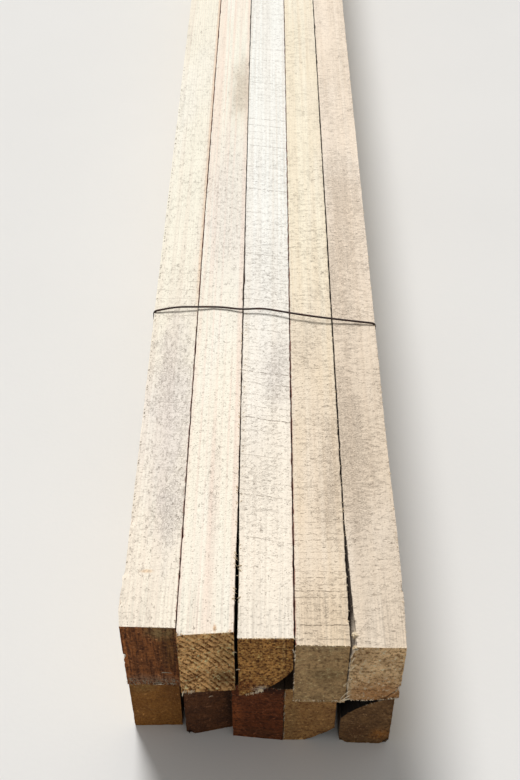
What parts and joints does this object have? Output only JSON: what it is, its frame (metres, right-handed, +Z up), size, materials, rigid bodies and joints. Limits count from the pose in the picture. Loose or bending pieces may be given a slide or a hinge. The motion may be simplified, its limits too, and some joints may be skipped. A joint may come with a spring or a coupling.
{
  "type": "bundle of wooden battens",
  "caption": "Bundle of rough-sawn softwood battens standing on edge in two layers, with wane on some arrises, held by twisted wire ties.",
  "frame": {"origin": "middle of the underside, on the face of the middle batten of the lower layer, half of one batten's length from the foremost near end", "axes": "+Y along the battens, away from the end that the picture shows; +X across the bundle; +Z up"},
  "size_m": [0.1336, 1.8161, 0.1003],
  "materials": {
    "wood_cream": "matte",
    "wood_honey": "matte",
    "wood_weathered": "matte",
    "wood_shaded": "matte",
    "tie_wire": "satin"
  },
  "bodies": {
    "root": {"batten_top_1": "wood_cream", "batten_top_2": "wood_cream", "batten_top_3": "wood_cream", "batten_top_4": "wood_honey", "batten_top_5": "wood_weathered", "batten_bottom_1": "wood_shaded", "batten_bottom_2": "wood_shaded", "batten_bottom_3": "wood_shaded", "batten_bottom_4": "wood_honey", "batten_bottom_5": "wood_weathered", "tie_wire_near": "tie_wire", "tie_wire_far": "tie_wire"}
  },
  "joints": []
}
